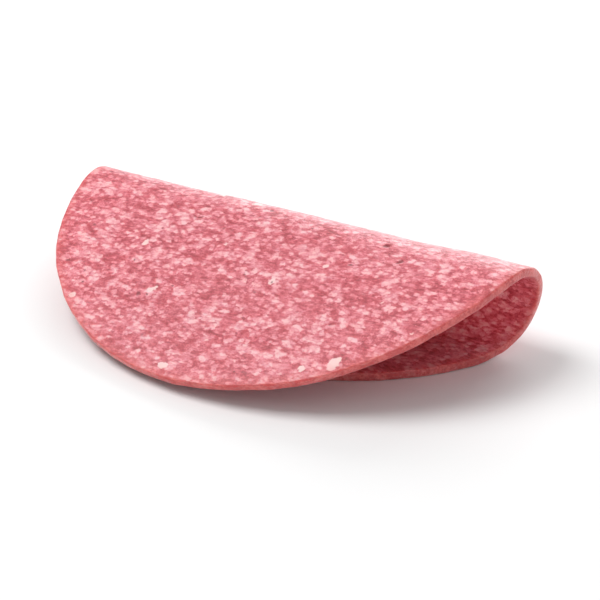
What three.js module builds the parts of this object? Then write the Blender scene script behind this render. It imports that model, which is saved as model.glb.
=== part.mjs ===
// One thin round slice of cured sausage, folded loosely in half.
//
// Millimetres, +Z up. The fold runs along X, with its back toward +Y. The lower
// flap lies flat on the table. The upper flap is the longer one: it leans over
// the lower flap, droops to the front (-Y) and ends just clear of the table. The
// fold is open at both ends, a little wider at its right end (+X).
// The origin is the middle of the footprint's box, on the table.
import * as THREE from "three";

// The slice as it is cut.
const SLICE_DIAMETER = 100;
const SLICE_THICKNESS = 1.9;
const EDGE_ROUNDING = 0.5;
// The casing isn't a true circle: bumps a whole number of times round the outline.
const OUTLINE_BUMPS = [
  { times: 2, height: 0.3, phase: 0.7 },
  { times: 3, height: 0.25, phase: 2.1 },
  { times: 5, height: 0.15, phase: 0.4 },
];

// The fold, all measured on the sheet halfway through the thickness.
const FOLD_OFFSET = 6.6; // from the slice's middle to the line it is folded on
const FOLD_HEIGHT = 17.5; // the loop's height halfway along the fold
const FOLD_FLARE = 3.7; // how much higher it is at the right end, and lower at the left
const LOOP_SLACK = 1.3; // the bent stretch, as a share of the loop's half circle
const TURN_DEGREES = 195; // the whole turn from the lower flap to the upper one
const DROOP_DEGREES = 15.6; // the further turn from there to the free edge
const DROOP_FLARE_DEGREES = 8; // how much more it droops at the right end, and less at the left
const WAVE_HEIGHT = 0.5; // a shallow wave along the free edge of the upper flap
const WAVE_LENGTH = 58;
const WAVE_PHASE = 0.9;

// The mesh.
const SEGMENTS = 80;
const SEGMENT_CROWDING = 0.4; // crowds the segments where the outline crosses the fold
const RINGS = 14;
const ROUNDING_STEPS = 2;
const BEND_STEPS = 64;
const DIFFERENCE_STEP = 0.05;

const RADIUS = SLICE_DIAMETER / 2;
const HALF_THICKNESS = SLICE_THICKNESS / 2;
const UPPER_REACH = RADIUS + FOLD_OFFSET;

// The half outline of the flat slice, from the middle of its underside round the
// cut edge to the middle of its top: x is the distance from the axis, y the depth.
function sliceProfile() {
  const points = [];
  const faceRadius = RADIUS - EDGE_ROUNDING;
  const faceDepth = HALF_THICKNESS - EDGE_ROUNDING;
  for (let ring = 0; ring < RINGS; ring++)
    points.push(new THREE.Vector2((faceRadius * ring) / RINGS, -HALF_THICKNESS));
  for (const side of [-1, 1])
    for (let step = 0; step <= ROUNDING_STEPS; step++) {
      const turn = ((Math.PI / 2) * step) / ROUNDING_STEPS;
      const angle = side < 0 ? turn - Math.PI / 2 : turn;
      points.push(
        new THREE.Vector2(
          faceRadius + EDGE_ROUNDING * Math.cos(angle),
          side * faceDepth + EDGE_ROUNDING * Math.sin(angle),
        ),
      );
    }
  for (let ring = RINGS - 1; ring >= 0; ring--)
    points.push(new THREE.Vector2((faceRadius * ring) / RINGS, HALF_THICKNESS));
  return points;
}

function outlineScale(angle) {
  let bump = 0;
  for (const { times, height, phase } of OUTLINE_BUMPS)
    bump += height * Math.sin(times * angle + phase);
  return 1 + bump / RADIUS;
}

function loopLength(along) {
  const height = FOLD_HEIGHT + (FOLD_FLARE * along) / RADIUS;
  return ((Math.PI * height) / 2) * LOOP_SLACK;
}

// How far past the bent stretch a point of the upper flap lies, 0 to about 1.
function flapReach(along, across) {
  return Math.max(0, across - loopLength(along) / 2) / UPPER_REACH;
}

// The sheet's slope across the fold: level on the lower flap, a smooth turn over
// the bent stretch, and a slow further turn down to the free edge.
function slopeAngle(along, across) {
  const length = loopLength(along);
  const share = THREE.MathUtils.smoothstep(across, -length / 2, length / 2);
  const fullDroop = DROOP_DEGREES + (DROOP_FLARE_DEGREES * along) / RADIUS;
  const droop = fullDroop * flapReach(along, across);
  return THREE.MathUtils.degToRad(TURN_DEGREES * share + droop);
}

// The folded place of a point of the sheet: `along` the fold and `across` it. The
// slope is summed in short steps from where the lower flap starts to bend.
function sheetPoint(along, across) {
  const bendStart = -loopLength(along) / 2;
  const point = new THREE.Vector3(along, Math.min(across, bendStart), 0);
  const step = (across - bendStart) / BEND_STEPS;
  for (let i = 0; step > 0 && i < BEND_STEPS; i++) {
    const angle = slopeAngle(along, bendStart + (i + 0.5) * step);
    point.y += Math.cos(angle) * step;
    point.z += Math.sin(angle) * step;
  }
  const wave = Math.sin((2 * Math.PI * along) / WAVE_LENGTH + WAVE_PHASE);
  point.z += WAVE_HEIGHT * wave * flapReach(along, across) ** 2;
  return point;
}

// A point at a depth from the sheet's middle, square to the folded sheet.
function slicePoint(along, across, depth) {
  const h = DIFFERENCE_STEP;
  const alongEdge = sheetPoint(along + h, across).sub(sheetPoint(along - h, across));
  const acrossEdge = sheetPoint(along, across + h).sub(sheetPoint(along, across - h));
  const normal = alongEdge.cross(acrossEdge).normalize();
  return sheetPoint(along, across).addScaledVector(normal, depth);
}

// Turns the flat slice, a lathed disc with its axis along Y, into the folded one.
function foldSlice(geometry) {
  const position = geometry.getAttribute("position");
  for (let i = 0; i < position.count; i++) {
    const x = position.getX(i);
    const z = -position.getZ(i);
    const even = Math.atan2(z, x);
    const angle = even - (SEGMENT_CROWDING / 2) * Math.sin(2 * even);
    const radius = Math.hypot(x, z) * outlineScale(angle);
    const along = radius * Math.cos(angle);
    const across = radius * Math.sin(angle) + FOLD_OFFSET;
    const { x: px, y: py, z: pz } = slicePoint(along, across, position.getY(i));
    position.setXYZ(i, px, py, pz + HALF_THICKNESS);
  }
  return geometry;
}

function centreFootprint(geometry) {
  geometry.computeBoundingBox();
  const middle = geometry.boundingBox.getCenter(new THREE.Vector3());
  geometry.translate(-middle.x, -middle.y, 0);
  geometry.computeVertexNormals();
  return geometry;
}

const curedMeat = new THREE.MeshStandardMaterial({
  name: "cured meat",
  color: 0xd97f88,
  roughness: 0.45,
  metalness: 0,
});

const slice = new THREE.Mesh(
  centreFootprint(foldSlice(new THREE.LatheGeometry(sliceProfile(), SEGMENTS))),
  curedMeat,
);
slice.name = "slice";

const curedSausage = new THREE.Group();
curedSausage.add(slice);
export default curedSausage;
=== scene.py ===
import bpy
import numpy as np
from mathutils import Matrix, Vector


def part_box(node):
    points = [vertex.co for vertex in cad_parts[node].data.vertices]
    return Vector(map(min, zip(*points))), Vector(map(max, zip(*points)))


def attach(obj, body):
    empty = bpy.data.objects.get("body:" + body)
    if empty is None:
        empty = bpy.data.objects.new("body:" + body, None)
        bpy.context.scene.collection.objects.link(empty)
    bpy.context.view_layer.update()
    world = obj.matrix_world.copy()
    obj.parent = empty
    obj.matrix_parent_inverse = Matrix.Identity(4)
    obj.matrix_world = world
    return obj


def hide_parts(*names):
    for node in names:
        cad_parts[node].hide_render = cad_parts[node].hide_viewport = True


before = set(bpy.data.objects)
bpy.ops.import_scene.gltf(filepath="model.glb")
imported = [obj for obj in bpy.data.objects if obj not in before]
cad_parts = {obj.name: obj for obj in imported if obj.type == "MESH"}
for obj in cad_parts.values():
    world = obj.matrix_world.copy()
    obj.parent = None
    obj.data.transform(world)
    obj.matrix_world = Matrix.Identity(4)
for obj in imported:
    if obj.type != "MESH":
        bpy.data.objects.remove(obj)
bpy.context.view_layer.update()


# The slice's form. The real piece is one thin slice, cut square across a thick cured
# sausage by a slicing machine, peeled of its casing and dropped loosely folded in half.
# The lower flap lies flat, the longer upper flap leans over it and droops to the table.
MM = 0.001
SLICE_RADIUS = 50 * MM
HALF_THICKNESS = 0.95 * MM
EDGE_ROUNDING = 0.5 * MM
# How many times each bump comes round the outline, with its height and phase.
OUTLINE_BUMPS = ((2, 0.3 * MM, 0.7), (3, 0.25 * MM, 2.1), (5, 0.15 * MM, 0.4))

# The fold's line lies off the slice's middle. The loop is higher at its right end by the
# flare, and the upper flap turns past level, then droops to a wavy free edge.
FOLD_OFFSET = 6.6 * MM
FOLD_HEIGHT = 17.5 * MM
FOLD_FLARE = 3.7 * MM
LOOP_SLACK = 1.3
TURN = np.radians(195)
DROOP = np.radians(15.6)
DROOP_FLARE = np.radians(8)
WAVE_HEIGHT = 0.5 * MM
WAVE_LENGTH = 58 * MM
WAVE_PHASE = 0.9
BEND_STEPS = 72
DIFFERENCE_STEP = 0.05 * MM


def smooth_step(share):
    """A smooth rise from 0 to 1: three times the share's square less twice its cube."""
    return share * share * (3 - 2 * share)


def loop_length(along):
    """Length of the bent stretch: half a circle of the loop's height, with some slack."""
    return np.pi * (FOLD_HEIGHT + FOLD_FLARE * along / SLICE_RADIUS) / 2 * LOOP_SLACK


def flap_reach(along, across):
    """How far past the bend a point lies, as a share of the upper flap."""
    past = np.maximum(0, across - loop_length(along) / 2)
    return past / (SLICE_RADIUS + FOLD_OFFSET)


def sheet_points(along, across):
    """The folded middle sheet: its slope is level, then turns by a smooth step over the
    bend, then droops evenly, and its place is the running sum of short sloping steps."""
    length = loop_length(along)
    full_droop = DROOP + DROOP_FLARE * along / SLICE_RADIUS
    step = np.maximum(0, across + length / 2) / BEND_STEPS
    y = np.minimum(across, -length / 2)
    z = np.zeros_like(y)
    for i in range(BEND_STEPS):
        here = -length / 2 + (i + 0.5) * step
        share = np.clip(here / length + 0.5, 0, 1)
        slope = TURN * smooth_step(share) + full_droop * flap_reach(along, here)
        y = y + np.cos(slope) * step
        z = z + np.sin(slope) * step
    wave = np.sin(2 * np.pi * along / WAVE_LENGTH + WAVE_PHASE)
    z = z + WAVE_HEIGHT * wave * flap_reach(along, across) ** 2
    return np.stack([along, y, z + HALF_THICKNESS], axis=-1)


def sheet_normals(along, across):
    """The cross product of the sheet's two edge directions, by small differences."""
    h = DIFFERENCE_STEP
    along_edge = sheet_points(along + h, across) - sheet_points(along - h, across)
    across_edge = sheet_points(along, across + h) - sheet_points(along, across - h)
    normal = np.cross(along_edge, across_edge)
    return normal / np.linalg.norm(normal, axis=-1, keepdims=True)


def outline_radius(angle):
    """The radius at an angle: a circle with a few low bumps round it."""
    bumps = sum(height * np.sin(times * angle + phase) for times, height, phase in OUTLINE_BUMPS)
    return SLICE_RADIUS + bumps


def disc_grid(cells):
    """A square grid laid on the unit disc: each square ring becomes a circle, and the
    share along a side becomes the angle. Returns the radius and the angle."""
    side = np.linspace(-1, 1, cells + 1)
    a, b = np.meshgrid(side, side, indexing="ij")
    wide = np.abs(a) >= np.abs(b)
    ring = np.where(wide, a, b)
    share = np.divide(np.where(wide, b, a), ring, out=np.zeros_like(a), where=ring != 0)
    angle = np.where(wide, share * np.pi / 4, np.pi / 2 - share * np.pi / 4)
    x, y = ring * np.cos(angle), ring * np.sin(angle)
    return np.hypot(x, y), np.arctan2(y, x)


# The grain. The meat is pork minced to about rice size: pale pink grains of hard fat
# packed in rose-red lean, with a few larger white pieces and small air pits. The pits are sunk
# into the faces and darkened with painted shade.
GRAIN = 1.8 * MM
GRAIN_SHARPNESS = 15
GRAIN_SEED = 7
LEAN_SHARE = 0.44
LEAN_TONE_SPAN = 0.38
FAT_TONE_LOW = 0.5
FAT_TONE_SPAN = 0.42
# The sizes of the noise that pushes the grains about, each with its whole swing.
WANDERS = ((1.5 * GRAIN, 0.9 * GRAIN), (0.6 * GRAIN, 0.54 * GRAIN))
BLOB_COUNT = 48
BLOB_RADIUS = (0.7 * MM, 1.9 * MM)
PIT_COUNT = 560
PIT_RADIUS = (0.22 * MM, 0.6 * MM)

draw = np.random.default_rng(GRAIN_SEED)


def soft_noise(points, size):
    """Smooth noise from 0 to 1: random values on a lattice, blended by smooth steps."""
    cell = points / size
    low = np.floor(cell).astype(int)
    part = smooth_step(cell - low)
    low -= low.min(axis=0)
    lattice = draw.random(low.max(axis=0) + 2)
    total = 0
    for corner in np.ndindex(2, 2, 2):
        weight = np.prod(np.where(corner, part, 1 - part), axis=-1)
        total = total + weight * lattice[tuple((low + corner).T)]
    return total


def grain_tones(points, size):
    """The tone of the meat, from 0 in deep lean to 1 in white fat. Grains sit one to a
    cell, each at a random place in it with a tone of its own, and the tones blend over a
    narrow border by weights that fall off steeply with the distance."""
    low = np.floor(points / size).astype(int)
    start = low.min(axis=0) - 1
    shape = low.max(axis=0) - start + 2
    place = draw.random((*shape, 3))
    lean = draw.random(shape) < LEAN_SHARE
    shade = draw.random(shape)
    tone = np.where(lean, LEAN_TONE_SPAN * shade, FAT_TONE_LOW + FAT_TONE_SPAN * shade)
    total = weights = 0
    for offset in np.ndindex(3, 3, 3):
        cell = low - start + np.array(offset) - 1
        index = tuple(cell.T)
        centre = (cell + start + place[index]) * size
        distance = np.linalg.norm(points - centre, axis=-1) / size
        weight = np.exp(-GRAIN_SHARPNESS * distance)
        total = total + weight * tone[index]
        weights = weights + weight
    return total / weights


def scattered_spots(points, count, radii):
    """Over spots strewn evenly on the slice: the largest of radius less distance. The
    radius goes by the square of a random share, so small spots are the commonest."""
    reach = SLICE_RADIUS * np.sqrt(draw.random(count))
    turn = 2 * np.pi * draw.random(count)
    depth = HALF_THICKNESS * (2 * draw.random(count) - 1)
    centres = np.stack([reach * np.cos(turn), reach * np.sin(turn) + FOLD_OFFSET, depth], -1)
    radius = radii[0] + (radii[1] - radii[0]) * draw.random(count) ** 2
    inside = np.full(len(points), -radii[1])
    for centre, r in zip(centres, radius):
        near = np.abs(points - centre).max(axis=-1) < 2 * radii[1]
        gap = r - np.linalg.norm(points[near] - centre, axis=-1)
        inside[near] = np.maximum(inside[near], gap)
    return inside


def meat_fields(cut):
    """The fields of the meat at places in the uncut sausage: tone, white pieces and
    pits, looked up at places that two sizes of noise have pushed about."""
    bent = cut
    for size, reach in WANDERS:
        push = np.stack([soft_noise(cut, size) for _ in range(3)], axis=-1) - 0.5
        bent = bent + reach * push
    tone = grain_tones(bent, GRAIN)
    blob = scattered_spots(bent, BLOB_COUNT, BLOB_RADIUS)
    pit = scattered_spots(bent, PIT_COUNT, PIT_RADIUS)
    return tone, blob, pit


# The slice's mesh: two faces on one grid, joined all round by the cut edge. The blade
# leaves the firm fat a little proud of the softer lean, and nicks the edge here and
# there. That relief is put on the flat slice, which is then folded.
GRID_CELLS = 196
EDGE_STEPS = 4
EDGE_MID_STEPS = 3
LEAN_SINK = 0.09 * MM
PIT_DEPTH = 0.28 * MM
PIT_WALL = 0.5 * PIT_RADIUS[1]
LUMP_SINK = 0.12 * MM
LUMP_SIZE = 5 * MM
NICK_DEPTH = 0.35 * MM
NICK_SIZE = 3 * MM
NICK_SINK_SHARE = 0.5
RIPPLE_HEIGHT = 0.6 * MM
RIPPLE_SIZE = 13 * MM
RIPPLE_BORDER = 10 * MM

disc_radius, disc_angle = disc_grid(GRID_CELLS)
face_radius = disc_radius * (outline_radius(disc_angle) - EDGE_ROUNDING)
face_along = (face_radius * np.cos(disc_angle)).ravel()
face_across = (face_radius * np.sin(disc_angle)).ravel() + FOLD_OFFSET

index = np.arange((GRID_CELLS + 1) ** 2).reshape(GRID_CELLS + 1, -1)
border = np.concatenate([index[:-1, 0], index[-1, :-1], index[:0:-1, -1], index[0, :0:-1]])
border_angle = disc_angle.ravel()[border]

# The rows of the cut edge, from the top face round to the underside.
turn = np.linspace(np.pi / 2, 0, EDGE_STEPS + 1)
edge_out = EDGE_ROUNDING * np.cos(turn)
edge_depth = HALF_THICKNESS - EDGE_ROUNDING + EDGE_ROUNDING * np.sin(turn)
middle = np.linspace(edge_depth[-1], -edge_depth[-1], EDGE_MID_STEPS + 1)[1:-1]
edge_out = np.concatenate([edge_out[1:], np.full(len(middle), EDGE_ROUNDING), edge_out[:0:-1]])
edge_depth = np.concatenate([edge_depth[1:], middle, -edge_depth[:0:-1]])
rim_angle = np.tile(border_angle, len(edge_out))
rim_out = np.repeat(edge_out, len(border))
rim_depth = np.repeat(edge_depth, len(border))
rim_radius = outline_radius(rim_angle) - EDGE_ROUNDING + rim_out
rim_along = rim_radius * np.cos(rim_angle)
rim_across = rim_radius * np.sin(rim_angle) + FOLD_OFFSET

along = np.concatenate([face_along, face_along, rim_along])
across = np.concatenate([face_across, face_across, rim_across])
depth = np.concatenate(
    [np.full(index.size, HALF_THICKNESS), np.full(index.size, -HALF_THICKNESS), rim_depth]
)
cut = np.stack([along, across, depth], axis=-1)
tone, blob, pit = meat_fields(cut)

beside = across - FOLD_OFFSET
inset = outline_radius(np.arctan2(beside, along)) - np.hypot(along, beside)
sink = LEAN_SINK * (1 - tone)
sink += PIT_DEPTH * np.clip(pit / PIT_WALL, 0, 1)
sink += LUMP_SINK * soft_noise(cut, LUMP_SIZE)
nick = NICK_DEPTH * soft_noise(cut, NICK_SIZE) + NICK_SINK_SHARE * sink
pull = np.clip(1 - inset / EDGE_ROUNDING, 0, 1) * nick / SLICE_RADIUS
upper_share = np.clip(across / RIPPLE_BORDER + 0.5, 0, 1)
raised_along = along * (1 - pull)
raised_across = beside * (1 - pull) + FOLD_OFFSET
raised_depth = depth * (1 - sink / HALF_THICKNESS)
raised_depth += RIPPLE_HEIGHT * (soft_noise(cut, RIPPLE_SIZE) - 0.5) * upper_share

points = sheet_points(raised_along, raised_across)
points += sheet_normals(raised_along, raised_across) * raised_depth[:, None]
node_low, node_high = map(np.array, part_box("slice"))
footprint_shift = (node_low + node_high - points.min(axis=0) - points.max(axis=0)) / 2
points[:, :2] += footprint_shift[:2]

quads = np.stack([index[:-1, :-1], index[1:, :-1], index[1:, 1:], index[:-1, 1:]], -1)
quads = quads.reshape(-1, 4)
rim_rows = 2 * index.size + np.arange(len(rim_angle)).reshape(-1, len(border))
rows = np.vstack([border, rim_rows, border + index.size])
ahead = np.roll(rows, -1, axis=1)
rim_quads = np.stack([rows[:-1], rows[1:], ahead[1:], ahead[:-1]], -1).reshape(-1, 4)
faces = np.concatenate([quads, quads[:, ::-1] + index.size, rim_quads])

# The mesh carries the meat's tone and, in mm, its other fields and the place in the
# uncut sausage.
mesh = bpy.data.meshes.new("slice_meat")
mesh.from_pydata(points, [], faces)
mesh.polygons.foreach_set("use_smooth", np.ones(len(faces), bool))
for name, values in {"tone": tone, "blob": blob / MM, "pit": pit / MM, "inset": inset / MM}.items():
    mesh.attributes.new(name, "FLOAT", "POINT").data.foreach_set("value", values)
mesh.attributes.new("cut", "FLOAT_VECTOR", "POINT").data.foreach_set("vector", (cut / MM).ravel())
mesh.update()
slice_meat = bpy.data.objects.new("slice_meat", mesh)
bpy.context.scene.collection.objects.link(slice_meat)


# The look of the cut meat: rose-red lean and pale fat, redder at the rim, where the
# casing was peeled off. It is moist and faintly oily, and a little light passes through.
TONES = (
    (0.0, (0.31, 0.010, 0.022, 1)),
    (0.25, (0.50, 0.040, 0.066, 1)),
    (0.5, (0.71, 0.148, 0.190, 1)),
    (0.75, (0.85, 0.305, 0.348, 1)),
    (1.0, (0.95, 0.510, 0.530, 1)),
)
FAT_CREAM = (0.96, 0.640, 0.615, 1)
# The pits' dark red is painted shade in their sunk hollows.
PAINTED_PIT_SHADE = (0.24, 0.014, 0.020, 1)
EDGE_RED = (0.55, 0.070, 0.066, 1)
EDGE_CORAL = (0.73, 0.165, 0.150, 1)
# The grey veil is painted sheen: a whitish gloss haze laid into the colour.
PAINTED_SHEEN_GREY = (0.58, 0.34, 0.39, 1)
MEAT_VALUES = {
    "Subsurface Weight": 0.5,
    "Subsurface Radius": (1.0, 0.08, 0.06),
    "Subsurface Scale": 4.2 * MM,
    "IOR": 1.42,
    "Coat Weight": 0.3,
    "Coat Roughness": 0.35,
    "Sheen Weight": 0.14,
    "Sheen Roughness": 0.5,
}

meat = bpy.data.materials.new("cured_meat")
meat.use_nodes = True
nodes, links = meat.node_tree.nodes, meat.node_tree.links
shader = nodes["Principled BSDF"]
for name, value in MEAT_VALUES.items():
    shader.inputs[name].default_value = value


def read_field(name, output="Fac"):
    """A field that the mesh carries at its points."""
    node = nodes.new("ShaderNodeAttribute")
    node.attribute_name = name
    return node.outputs[output]


def feed(socket, value):
    """Links the socket to another node's output, or sets a number or colour on it."""
    if isinstance(value, bpy.types.NodeSocket):
        links.new(value, socket)
    else:
        socket.default_value = value


def calculate(operation, a, b=0.0, c=0.0):
    """One sum on a and b. MULTIPLY_ADD is a times b, plus c."""
    node = nodes.new("ShaderNodeMath")
    node.operation = operation
    for socket, value in zip(node.inputs, (a, b, c)):
        feed(socket, value)
    return node.outputs[0]


def swing(pattern, height):
    """A pattern from 0 to 1 made to swing about nought: height times it, less half of
    height."""
    return calculate("MULTIPLY_ADD", pattern, height, -height / 2)


def smooth_range(value, low, high, to_low=0.0, to_high=1.0):
    """A smooth step from to_low, where the value is low, to to_high, where it is high."""
    node = nodes.new("ShaderNodeMapRange")
    node.interpolation_type = "SMOOTHSTEP"
    for socket, number in zip(node.inputs, (value, low, high, to_low, to_high)):
        feed(socket, number)
    return node.outputs[0]


def noise(per_mm, detail=2.0, roughness=0.5, stretch=None):
    """Noise in the uncut meat, so many waves to a millimetre, closer along each axis by
    the number that stretch gives for it."""
    node = nodes.new("ShaderNodeTexNoise")
    node.inputs["Scale"].default_value = per_mm
    node.inputs["Detail"].default_value = detail
    node.inputs["Roughness"].default_value = roughness
    place = read_field("cut", "Vector")
    if stretch:
        mapping = nodes.new("ShaderNodeMapping")
        mapping.inputs["Scale"].default_value = stretch
        links.new(place, mapping.inputs["Vector"])
        place = mapping.outputs["Vector"]
    links.new(place, node.inputs["Vector"])
    return node.outputs["Fac"]


def blend_colours(share, low, high):
    """The colour low where the share is 0, high where it is 1, and mixed between."""
    node = nodes.new("ShaderNodeMix")
    node.data_type = "RGBA"
    feed(node.inputs[0], share)
    feed(node.inputs[6], low)
    feed(node.inputs[7], high)
    return node.outputs[2]


def blend_numbers(share, low, high):
    """The number low where the share is 0, high where it is 1, and mixed between."""
    node = nodes.new("ShaderNodeMix")
    feed(node.inputs[0], share)
    feed(node.inputs[2], low)
    feed(node.inputs[3], high)
    return node.outputs[0]


# Grains sharper than the mesh can carry, each brightest in its middle. About a third
# are pale fat.
GRAIN_WANDER_SCALE = 1.6
GRAIN_STRETCH = (0.8, 1.25, 1.0)
GRAIN_SMOOTHNESS = 0.06
GRAIN_BORDER = (0.28, 0.6)
GRAIN_BORDER_TONE = 0.2
GRAIN_PALE_FROM = 0.65


def grains(per_mm, push):
    """Irregular grains, Voronoi cells whose places are pushed about by noise, a little
    longer along the fold than across it. Each has a random tone from 0 to 1, which falls
    off from the grain's middle to its border."""
    wander = nodes.new("ShaderNodeTexNoise")
    wander.inputs["Scale"].default_value = GRAIN_WANDER_SCALE * per_mm
    links.new(read_field("cut", "Vector"), wander.inputs["Vector"])
    pushed = nodes.new("ShaderNodeVectorMath")
    pushed.operation = "MULTIPLY_ADD"
    links.new(wander.outputs["Color"], pushed.inputs[0])
    pushed.inputs[1].default_value = (push / per_mm,) * 3
    links.new(read_field("cut", "Vector"), pushed.inputs[2])
    drawn_out = nodes.new("ShaderNodeVectorMath")
    drawn_out.operation = "MULTIPLY"
    links.new(pushed.outputs["Vector"], drawn_out.inputs[0])
    drawn_out.inputs[1].default_value = GRAIN_STRETCH
    cells = nodes.new("ShaderNodeTexVoronoi")
    cells.feature = "SMOOTH_F1"
    cells.inputs["Scale"].default_value = per_mm
    cells.inputs["Smoothness"].default_value = GRAIN_SMOOTHNESS
    links.new(drawn_out.outputs["Vector"], cells.inputs["Vector"])
    number = nodes.new("ShaderNodeSeparateColor")
    links.new(cells.outputs["Color"], number.inputs["Color"])
    middle = smooth_range(cells.outputs["Distance"], *GRAIN_BORDER, 1.0, GRAIN_BORDER_TONE)
    bright = smooth_range(number.outputs["Red"], 0.0, GRAIN_PALE_FROM)
    return calculate("MULTIPLY", bright, middle)


# Tone: clumps from the mesh, with sharper grains of two sizes and fine noise over them.
STROKES_PER_MM = 1.3
STROKES_STRETCH = (0.65, 1.4, 1.0)
STROKES_HEIGHT = 0.8
FUZZ_PER_MM = 3.2
FUZZ_HEIGHT = 0.5
TONE_BASE = 0.15
CLUMP_WEIGHT = 0.24
# Grains to a millimetre, how many grains far they are pushed about, and their weight.
GRAIN_LAYERS = ((0.45, 0.9, 0.4), (0.9, 0.95, 0.45))
FUZZ_WEIGHT = 1.1
DRIFT_PER_MM = 0.12
DRIFT_DETAIL = 3
DRIFT_HEIGHT = 0.16
BLOB_FUZZ = 0.9
BLOB_BORDER = (0.0, 0.18)
PIT_FUZZ = 0.5
PIT_BORDER = (-0.1, 0.12)

strokes = noise(STROKES_PER_MM, stretch=STROKES_STRETCH)
fuzz = calculate("ADD", swing(strokes, STROKES_HEIGHT), swing(noise(FUZZ_PER_MM), FUZZ_HEIGHT))
meat_tone = calculate("MULTIPLY_ADD", read_field("tone"), CLUMP_WEIGHT, TONE_BASE)
for per_mm, push, weight in GRAIN_LAYERS:
    meat_tone = calculate("MULTIPLY_ADD", grains(per_mm, push), weight, meat_tone)
meat_tone = calculate("MULTIPLY_ADD", fuzz, FUZZ_WEIGHT, meat_tone)
drift = swing(noise(DRIFT_PER_MM, DRIFT_DETAIL), DRIFT_HEIGHT)
meat_tone = calculate("ADD", meat_tone, drift)
blob_edge = calculate("MULTIPLY_ADD", fuzz, BLOB_FUZZ, read_field("blob"))
blob_share = smooth_range(blob_edge, *BLOB_BORDER)
meat_tone = blend_numbers(blob_share, meat_tone, 1.0)
pit_edge = calculate("MULTIPLY_ADD", fuzz, PIT_FUZZ, read_field("pit"))
pit_share = smooth_range(pit_edge, *PIT_BORDER)

# Rim: the casing side is smooth and redder, and the faces redden a little beside it.
# Distances in from the outline are in mm.
RIM_WAVES_PER_MM = 0.6
RIM_WAVE_HEIGHT = 0.9
RIM_SIDE = (0.25, 0.75)
RIM_SIDE_SHARE = 0.48
RIM_BESIDE = (0.5, 3.2)
RIM_BESIDE_SHARE = 0.36
RIM_PATCHES_PER_MM = 0.35
RIM_PATCH_DETAIL = 3
RIM_PATCH_FUZZ = 0.8
RIM_PATCH_BORDER = (0.35, 0.7)

rim_edge = calculate("ADD", read_field("inset"), swing(noise(RIM_WAVES_PER_MM), RIM_WAVE_HEIGHT))
rim_share = calculate("ADD", smooth_range(rim_edge, *RIM_SIDE, RIM_SIDE_SHARE, 0.0),
                      smooth_range(rim_edge, *RIM_BESIDE, RIM_BESIDE_SHARE, 0.0))
rim_patches = noise(RIM_PATCHES_PER_MM, RIM_PATCH_DETAIL)
rim_patches = calculate("MULTIPLY_ADD", fuzz, RIM_PATCH_FUZZ, rim_patches)
rim_red = blend_colours(smooth_range(rim_patches, *RIM_PATCH_BORDER), EDGE_RED, EDGE_CORAL)

# Colour: the tones under a thin grey veil in streaks, which is painted sheen, then white pieces,
# pits darkened with painted shade, and the rim.
PAINTED_SHEEN_PER_MM = 0.5
PAINTED_SHEEN_DETAIL = 4
PAINTED_SHEEN_ROUGHNESS = 0.6
PAINTED_SHEEN_STRETCH = (1.0, 2.6, 1.0)
PAINTED_SHEEN_BORDER = (0.55, 0.8)
PAINTED_SHEEN_MOST = 0.2
BLOB_CREAM = 0.8
PIT_SHADE_STRENGTH = 0.85

ramp = nodes.new("ShaderNodeValToRGB")
ramp.color_ramp.elements[0].color = TONES[0][1]
ramp.color_ramp.elements[1].color = TONES[-1][1]
for place, shade in TONES[1:-1]:
    ramp.color_ramp.elements.new(place).color = shade
links.new(meat_tone, ramp.inputs["Fac"])
# Painted sheen: grey streaks laid over the tones where gloss would haze the surface.
painted_sheen = noise(PAINTED_SHEEN_PER_MM, PAINTED_SHEEN_DETAIL, PAINTED_SHEEN_ROUGHNESS, PAINTED_SHEEN_STRETCH)
painted_sheen_share = smooth_range(painted_sheen, *PAINTED_SHEEN_BORDER, 0.0, PAINTED_SHEEN_MOST)
colour = blend_colours(painted_sheen_share, ramp.outputs["Color"], PAINTED_SHEEN_GREY)
colour = blend_colours(calculate("MULTIPLY", blob_share, BLOB_CREAM), colour, FAT_CREAM)
# Painted shade: the colour of the sunk pits is darkened as well.
colour = blend_colours(calculate("MULTIPLY", pit_share, PIT_SHADE_STRENGTH), colour, PAINTED_PIT_SHADE)
colour = blend_colours(rim_share, colour, rim_red)
links.new(colour, shader.inputs["Base Color"])

# Gloss and fine relief: moist grains stand proud and glint, the lean between is duller.
GLOSS_PER_MM = 2.2
GLOSS_DETAIL = 3
ROUGHNESS_MOST = 0.66
ROUGHNESS_GLOSS = -0.45
ROUGHNESS_TONE = -0.08
RELIEF_PER_MM = 1.6
RELIEF_DETAIL = 4
RELIEF_ROUGHNESS = 0.65
RELIEF_NOISE = 0.9
RELIEF_TONE = 0.6
RELIEF_PIT = -0.6
RELIEF_HEIGHT = 0.16 * MM

gloss = noise(GLOSS_PER_MM, GLOSS_DETAIL)
rough = calculate("MULTIPLY_ADD", gloss, ROUGHNESS_GLOSS, ROUGHNESS_MOST)
rough = calculate("MULTIPLY_ADD", meat_tone, ROUGHNESS_TONE, rough)
links.new(rough, shader.inputs["Roughness"])
height = noise(RELIEF_PER_MM, RELIEF_DETAIL, RELIEF_ROUGHNESS)
height = calculate("MULTIPLY_ADD", height, RELIEF_NOISE,
                   calculate("MULTIPLY", meat_tone, RELIEF_TONE))
height = calculate("MULTIPLY_ADD", pit_share, RELIEF_PIT, height)
bump = nodes.new("ShaderNodeBump")
bump.inputs["Strength"].default_value = 1.0
bump.inputs["Distance"].default_value = RELIEF_HEIGHT
links.new(height, bump.inputs["Height"])
links.new(bump.outputs["Normal"], shader.inputs["Normal"])

mesh.materials.append(meat)
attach(slice_meat, "root")
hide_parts("slice")


# The table: a plain, near-white matt sheet that the slice lies on, laid wide enough
# to fill every view.
TABLE_HALF = 3.0
TABLE_WHITE = (0.9, 0.9, 0.9, 1)
TABLE_ROUGHNESS = 0.9
TABLE_SPECULAR = 0.2

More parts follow.
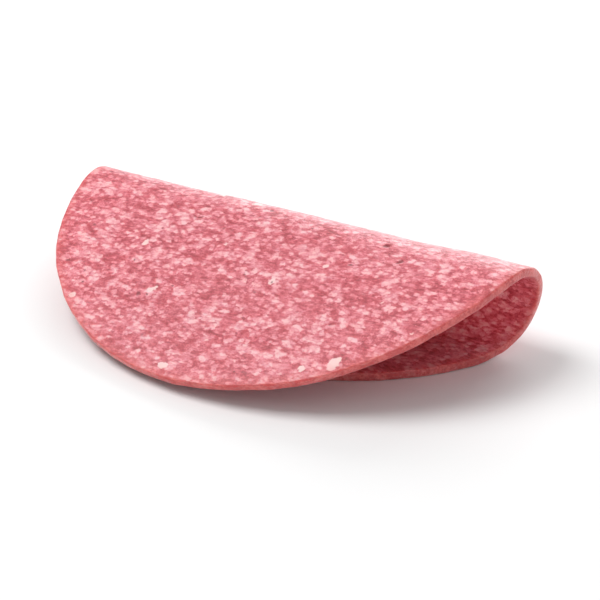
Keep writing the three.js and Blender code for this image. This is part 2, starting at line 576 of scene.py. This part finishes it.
table_mesh = bpy.data.meshes.new("table")
corners = [(-TABLE_HALF, -TABLE_HALF, 0), (TABLE_HALF, -TABLE_HALF, 0),
           (TABLE_HALF, TABLE_HALF, 0), (-TABLE_HALF, TABLE_HALF, 0)]
table_mesh.from_pydata(corners, [], [(0, 1, 2, 3)])
table = bpy.data.objects.new("table", table_mesh)
bpy.context.scene.collection.objects.link(table)
matt_white = bpy.data.materials.new("matt_white")
matt_white.use_nodes = True
board = matt_white.node_tree.nodes["Principled BSDF"]
board.inputs["Base Color"].default_value = TABLE_WHITE
board.inputs["Roughness"].default_value = TABLE_ROUGHNESS
board.inputs["Specular IOR Level"].default_value = TABLE_SPECULAR
table_mesh.materials.append(matt_white)


# The light: a white studio, with a wide soft box above on the left and a broad glow
# from behind, both turned to the slice.
STUDIO_WHITE = (1, 1, 1, 1)
STUDIO_STRENGTH = 0.5

world = bpy.data.worlds.new("studio")
world.use_nodes = True
backdrop = world.node_tree.nodes["Background"]
backdrop.inputs["Color"].default_value = STUDIO_WHITE
backdrop.inputs["Strength"].default_value = STUDIO_STRENGTH
bpy.context.scene.world = world


def soft_box(name, place, size, power):
    """A square lamp, its size in metres and its power in watts, turned to the origin."""
    lamp = bpy.data.lights.new(name, "AREA")
    lamp.size = size
    lamp.energy = power
    box = bpy.data.objects.new(name, lamp)
    box.location = place
    box.rotation_euler = (-Vector(place)).to_track_quat("-Z", "Y").to_euler()
    bpy.context.scene.collection.objects.link(box)


soft_box("soft_box_top", place=(-0.5, -0.15, 0.9), size=0.6, power=7.4)
soft_box("backdrop_glow", place=(-0.2, 1.3, 0.45), size=1.1, power=12)


# The camera: at the photograph's viewing angle, close in on the slice. Its lens is as
# long as it takes for a millimetre at the fold to cover a set number of pixels.
CAMERA_ELEVATION = np.radians(28)
CAMERA_TURN = np.radians(31)
CAMERA_DISTANCE = 0.48
FRAME_PIXELS = 600
PIXELS_PER_MM = 5.0
SENSOR_WIDTH = 36
AIM = (0.0075, 0.006, 0.0065)

fold_middle = np.array([footprint_shift[0], footprint_shift[1], HALF_THICKNESS])
away = np.array([np.sin(CAMERA_TURN) * np.cos(CAMERA_ELEVATION),
                 -np.cos(CAMERA_TURN) * np.cos(CAMERA_ELEVATION),
                 np.sin(CAMERA_ELEVATION)])
camera_data = bpy.data.cameras.new("camera")
camera_data.sensor_width = SENSOR_WIDTH
camera_data.lens = PIXELS_PER_MM / MM * CAMERA_DISTANCE * SENSOR_WIDTH / FRAME_PIXELS
camera = bpy.data.objects.new("camera", camera_data)
camera.location = fold_middle + CAMERA_DISTANCE * away
camera.rotation_euler = (Vector(AIM) - camera.location).to_track_quat("-Z", "Y").to_euler()
bpy.context.scene.collection.objects.link(camera)
bpy.context.scene.camera = camera
bpy.context.scene.view_settings.view_transform = "Standard"
